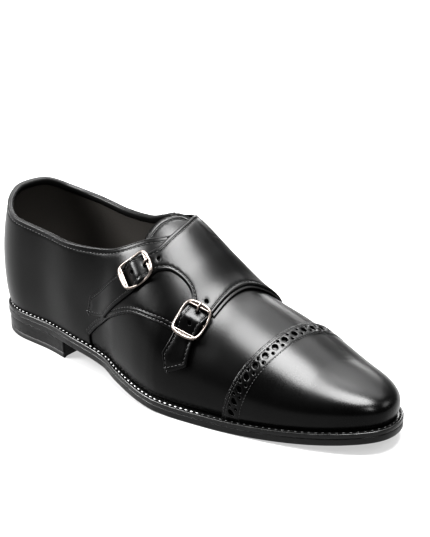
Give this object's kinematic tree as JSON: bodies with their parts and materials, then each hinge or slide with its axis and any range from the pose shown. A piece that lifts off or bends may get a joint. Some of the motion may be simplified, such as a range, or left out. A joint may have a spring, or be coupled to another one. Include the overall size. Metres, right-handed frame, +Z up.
{
  "type": "monk strap shoe",
  "caption": "Man's cap toe double monk strap dress shoe: hollow leather upper on a welted sole with a low stacked heel, closed by buckled straps.",
  "frame": {"origin": "middle of the bounding box, at the floor under the shoe", "axes": "+X towards the toe, +Y towards the medial side, +Z up; the shoe stands on z = 0"},
  "size_m": [0.3034, 0.101, 0.0992],
  "materials": {
    "upper_leather": "smooth black calf, semi-gloss, fine grain",
    "sole_leather": "black finished sole leather, satin edge",
    "welt_leather": "black finished leather strip, satin",
    "heel_leather": "stacked leather, black finished",
    "heel_rubber": "matte black rubber",
    "footbed_leather": "dark brown lining leather",
    "buckle_metal": "polished nickel, slightly warm"
  },
  "bodies": {
    "root": {"outsole": "sole_leather", "welt": "welt_leather", "heel_stack": "heel_leather", "heel_top_piece": "heel_rubber", "insole": "footbed_leather", "upper": "upper_leather", "tongue": "upper_leather", "toe_cap": "upper_leather", "monk_straps": "upper_leather", "front_buckle": "buckle_metal", "rear_buckle": "buckle_metal", "front_prong": "buckle_metal", "rear_prong": "buckle_metal"}
  },
  "joints": []
}
